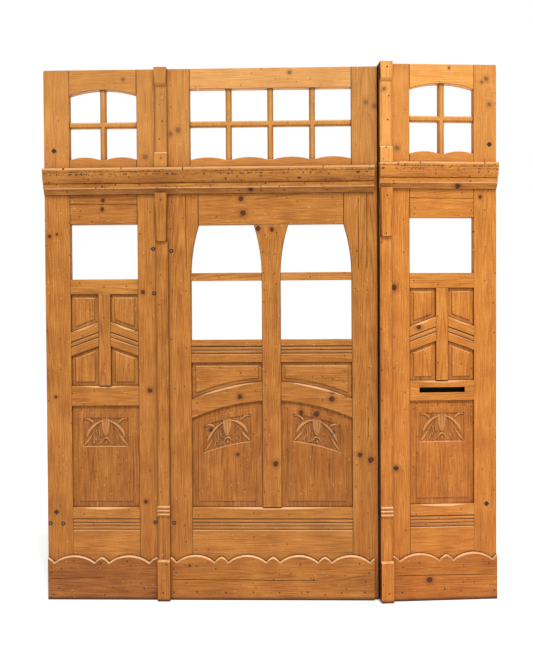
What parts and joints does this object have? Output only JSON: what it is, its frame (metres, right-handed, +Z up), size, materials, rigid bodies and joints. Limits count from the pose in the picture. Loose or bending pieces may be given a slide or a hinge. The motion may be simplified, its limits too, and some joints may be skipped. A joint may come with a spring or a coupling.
{
  "type": "carved pine entrance front",
  "caption": "Antique waxed pine entrance front: carved panelled bays with windows, arched fanlights, a cornice, pilasters and scalloped kick boards.",
  "frame": {"origin": "on the floor, in the middle of the width, at the middle of the thickness of the left and centre bays' framing, where the centre bay's bottom rail stands", "axes": "+X to the right seen from the front, +Y to the back, +Z up; the front looks along -Y"},
  "size_m": [2.3156, 0.1504, 2.728],
  "materials": {
    "honey_pine": "old pine, stripped and waxed to a low sheen",
    "orange_pine": "old pine of a more orange tone, stripped and waxed",
    "dark_board": "dark stained, matt"
  },
  "bodies": {
    "root": {"centre_bottom_rail": "honey_pine", "centre_fanlight_bars": "honey_pine", "centre_kick_board": "honey_pine", "centre_left_arched_rail": "honey_pine", "centre_left_carved_panel": "honey_pine", "centre_left_reeded_rail": "honey_pine", "centre_left_small_panel": "honey_pine", "centre_left_stile": "honey_pine", "centre_left_window_bar": "honey_pine", "centre_middle_stile": "honey_pine", "centre_right_arched_rail": "honey_pine", "centre_right_carved_panel": "honey_pine", "centre_right_reeded_rail": "honey_pine", "centre_right_small_panel": "honey_pine", "centre_right_stile": "honey_pine", "centre_right_window_bar": "honey_pine", "centre_top_rail": "honey_pine", "centre_transom_board": "honey_pine", "left_bottom_rail": "honey_pine", "left_carved_panel": "honey_pine", "left_fanlight_bars": "honey_pine", "left_inner_stile": "honey_pine", "left_kick_board": "honey_pine", "left_left_lower_panel": "honey_pine", "left_left_slanted_rail": "honey_pine", "left_left_upper_panel": "honey_pine", "left_lock_rail": "honey_pine", "left_muntin": "honey_pine", "left_outer_stile": "honey_pine", "left_right_lower_panel": "honey_pine", "left_right_slanted_rail": "honey_pine", "left_right_upper_panel": "honey_pine", "left_top_rail": "honey_pine", "left_transom_board": "honey_pine", "left_window_rail": "honey_pine", "main_cornice": "honey_pine", "main_lower_pilaster": "honey_pine", "main_upper_pilaster": "honey_pine", "right_bottom_rail": "orange_pine", "right_carved_panel": "orange_pine", "right_cornice": "orange_pine", "right_fanlight_bars": "orange_pine", "right_inner_stile": "orange_pine", "right_kick_board": "orange_pine", "right_left_lower_panel": "orange_pine", "right_left_slanted_rail": "orange_pine", "right_left_upper_panel": "orange_pine", "right_lock_rail": "orange_pine", "right_lower_pilaster": "orange_pine", "right_muntin": "orange_pine", "right_outer_stile": "orange_pine", "right_right_lower_panel": "orange_pine", "right_right_slanted_rail": "orange_pine", "right_right_upper_panel": "orange_pine", "right_slot_cover": "dark_board", "right_top_rail": "orange_pine", "right_transom_board": "orange_pine", "right_upper_pilaster": "orange_pine", "right_window_rail": "orange_pine"}
  },
  "joints": []
}
